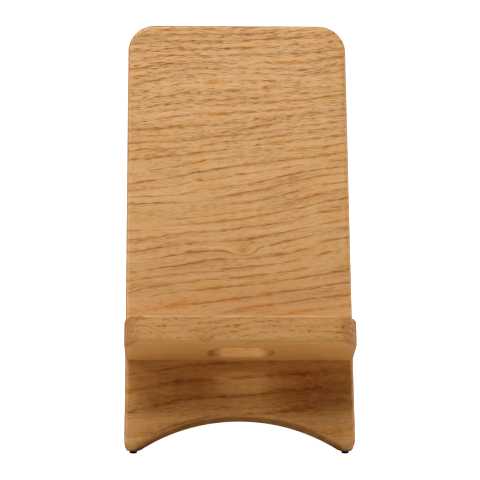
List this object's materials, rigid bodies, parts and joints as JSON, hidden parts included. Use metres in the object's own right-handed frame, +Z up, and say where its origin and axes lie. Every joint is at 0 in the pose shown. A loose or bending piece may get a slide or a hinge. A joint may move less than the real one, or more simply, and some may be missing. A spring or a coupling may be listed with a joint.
{
  "type": "phone stand",
  "caption": "Oak stand that leans a phone back on a cable-slotted ledge. The ledge board's tail slides through the back panel as the rear leg.",
  "frame": {"origin": "on the table, at the middle of the stand's width and of its depth from the ledge's front to the tail's end", "axes": "+Z up, the stand faces -Y, +X to the right as seen from the front"},
  "size_m": [0.08, 0.0974, 0.148],
  "materials": {
    "oak_panel": "oiled satin",
    "oak_plank": "oiled satin",
    "pad_rubber": "matte"
  },
  "bodies": {
    "panel": {"back_panel": "oak_panel", "foot_pad_left": "pad_rubber", "foot_pad_right": "pad_rubber"},
    "plank": {"shelf_plank": "oak_plank", "tail_pad_left": "pad_rubber", "tail_pad_right": "pad_rubber"}
  },
  "joints": [
    {"name": "plank_slide", "type": "slide", "parent": "panel", "child": "plank", "axis": [0, -0.9063, 0.4226], "range_m": [0, 0.084]}
  ]
}
